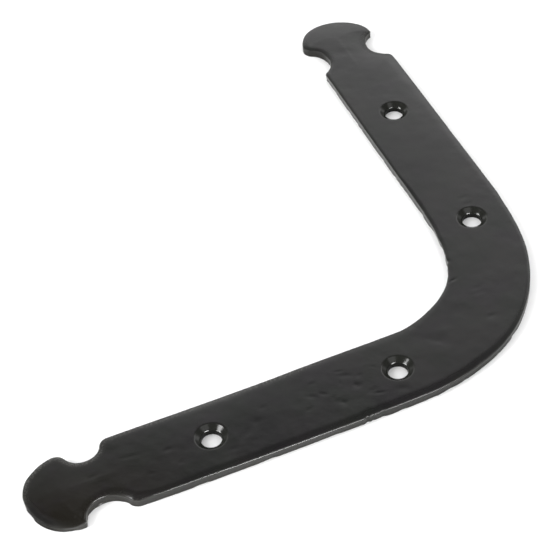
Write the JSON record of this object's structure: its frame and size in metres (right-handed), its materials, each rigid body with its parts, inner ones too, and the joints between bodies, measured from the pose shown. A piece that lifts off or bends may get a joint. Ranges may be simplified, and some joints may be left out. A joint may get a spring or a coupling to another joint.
{
  "type": "flat corner mending bracket",
  "caption": "Flat black mending bracket bent to a right angle, with rounded finial ends and countersunk screw holes, for strengthening a corner joint.",
  "frame": {"origin": "middle of the square that holds the bracket's outline, on the back face", "axes": "+Z out of the countersunk front face; the first arm runs along -X and the second along +Y from the bend, which lies at +X, -Y"},
  "size_m": [0.17, 0.17, 0.003],
  "materials": {
    "black_paint": "satin"
  },
  "bodies": {
    "root": {"bracket": "black_paint"}
  },
  "joints": []
}
